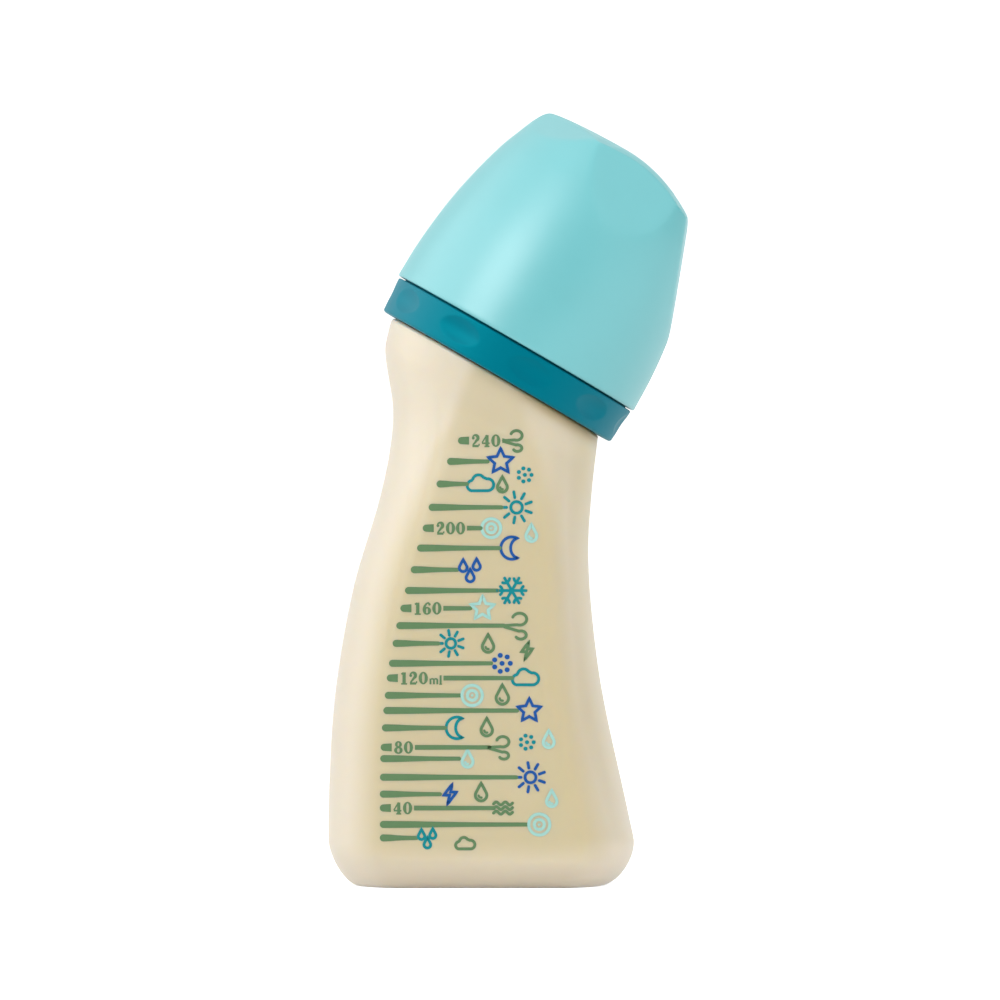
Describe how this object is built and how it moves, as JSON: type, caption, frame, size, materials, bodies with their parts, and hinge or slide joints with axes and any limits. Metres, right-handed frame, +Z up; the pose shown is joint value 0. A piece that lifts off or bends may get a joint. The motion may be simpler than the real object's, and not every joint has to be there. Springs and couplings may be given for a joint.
{
  "type": "baby bottle",
  "caption": "Feeding bottle with a curved, leaning hollow body, a threaded neck, a screw ring with thumb dimples, a soft hollow teat and a push-on hood with a faceted crown.",
  "frame": {"origin": "middle of the foot, in the plane that the bottle stands on", "axes": "+Z up, -Y out of the flat front, +X towards the side that the neck leans to"},
  "size_m": [0.0838, 0.0632, 0.1797],
  "materials": {
    "body_plastic": "milky translucent amber-tinted PPSU, smooth",
    "ring_plastic": "satin opaque teal polypropylene",
    "teat_silicone": "soft clear silicone, slightly milky",
    "hood_plastic": "satin pale aqua polypropylene"
  },
  "bodies": {
    "bottle_body": {"bottle": "body_plastic"},
    "teat_body": {"teat": "teat_silicone"},
    "ring_body": {"screw_ring": "ring_plastic"},
    "hood_body": {"hood": "hood_plastic"}
  },
  "joints": [
    {"name": "teat_lift", "type": "slide", "parent": "bottle_body", "child": "teat_body", "axis": [0.5, 0, 0.866], "range_m": [0, 0.0151]},
    {"name": "ring_turn", "type": "hinge", "parent": "teat_body", "child": "ring_body", "pos_m": [0.0038, 0, 0.1185], "axis": [0.5, 0, 0.866], "range_deg": [0, 900]},
    {"name": "hood_lift", "type": "slide", "parent": "ring_body", "child": "hood_body", "axis": [0.5, 0, 0.866], "range_m": [0, 0.06]}
  ],
  "couplings": [
    {"joint": "teat_lift", "follows": "ring_turn", "m_per_rad": 0.00095493}
  ]
}
